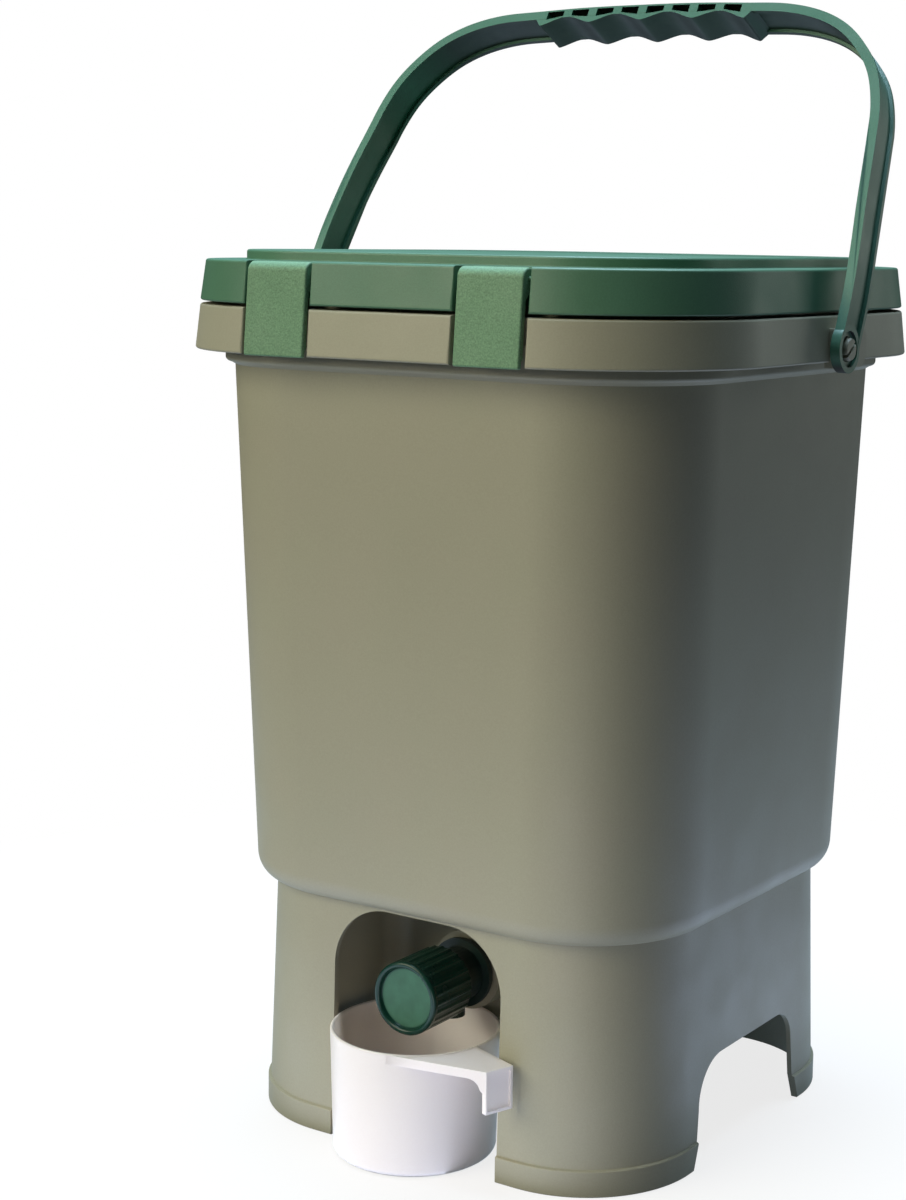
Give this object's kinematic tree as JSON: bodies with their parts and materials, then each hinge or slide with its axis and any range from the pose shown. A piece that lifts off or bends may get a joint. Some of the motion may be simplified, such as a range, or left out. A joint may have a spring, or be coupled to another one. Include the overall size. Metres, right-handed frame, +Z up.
{
  "type": "kitchen compost bin",
  "caption": "Square tapered compost bin on a stand skirt, with a sealed latched lid, lifting bail, drain grid, drain tap and a cup under the tap.",
  "frame": {"origin": "on the floor, under the middle of the bin", "axes": "+Z up; -Y is the front, where the tap and the cup are; the bail turns about X"},
  "size_m": [0.307, 0.2872, 0.5301],
  "materials": {
    "body": "satin",
    "lid": "satin",
    "latch": "fine grained",
    "bail": "satin",
    "seal": "matt",
    "grid": "satin",
    "tap": "satin",
    "knob": "satin",
    "nut": "satin",
    "cup": "satin"
  },
  "bodies": {
    "bin": {"bin_body": "body", "tap_body": "tap", "tap_washer_outer": "seal", "tap_washer_inner": "seal", "tap_nut": "nut"},
    "lid": {"lid": "lid", "lid_seal": "seal"},
    "latch_front_left": {"latch_front_left": "latch"},
    "latch_front_right": {"latch_front_right": "latch"},
    "latch_back_left": {"latch_back_left": "latch"},
    "latch_back_right": {"latch_back_right": "latch"},
    "bail": {"bail": "bail"},
    "drain_grid": {"drain_grid": "grid"},
    "tap_turn": {"tap_knob": "knob", "tap_plug": "nut", "tap_oring_back": "seal", "tap_oring_front": "seal"},
    "cup": {"cup": "cup"}
  },
  "joints": [
    {"name": "lid_lift", "type": "slide", "parent": "bin", "child": "lid", "axis": [0, 0, 1], "range_m": [0, 0.045]},
    {"name": "latch_front_left_swing", "type": "hinge", "parent": "lid", "child": "latch_front_left", "pos_m": [-0.056, -0.1361, 0.3993], "axis": [-1, 0, 0], "range_deg": [0, 110]},
    {"name": "latch_front_right_swing", "type": "hinge", "parent": "lid", "child": "latch_front_right", "pos_m": [0.056, -0.1361, 0.3993], "axis": [-1, 0, 0], "range_deg": [0, 110]},
    {"name": "latch_back_left_swing", "type": "hinge", "parent": "lid", "child": "latch_back_left", "pos_m": [-0.056, 0.1361, 0.3993], "axis": [1, 0, 0], "range_deg": [0, 110]},
    {"name": "latch_back_right_swing", "type": "hinge", "parent": "lid", "child": "latch_back_right", "pos_m": [0.056, 0.1361, 0.3993], "axis": [1, 0, 0], "range_deg": [0, 110]},
    {"name": "bail_swing", "type": "hinge", "parent": "bin", "child": "bail", "pos_m": [0, 0, 0.369], "axis": [1, 0, 0], "range_deg": [-99, 153]},
    {"name": "grid_lift", "type": "slide", "parent": "bin", "child": "drain_grid", "axis": [0, 0, 1], "range_m": [0, 0.24]},
    {"name": "tap_turn", "type": "hinge", "parent": "bin", "child": "tap_turn", "pos_m": [0, -0.1, 0.0766], "axis": [0, 1, 0], "range_deg": [0, 90]},
    {"name": "cup_slide", "type": "slide", "parent": "bin", "child": "cup", "axis": [0, -1, 0], "range_m": [0, 0.12]}
  ]
}
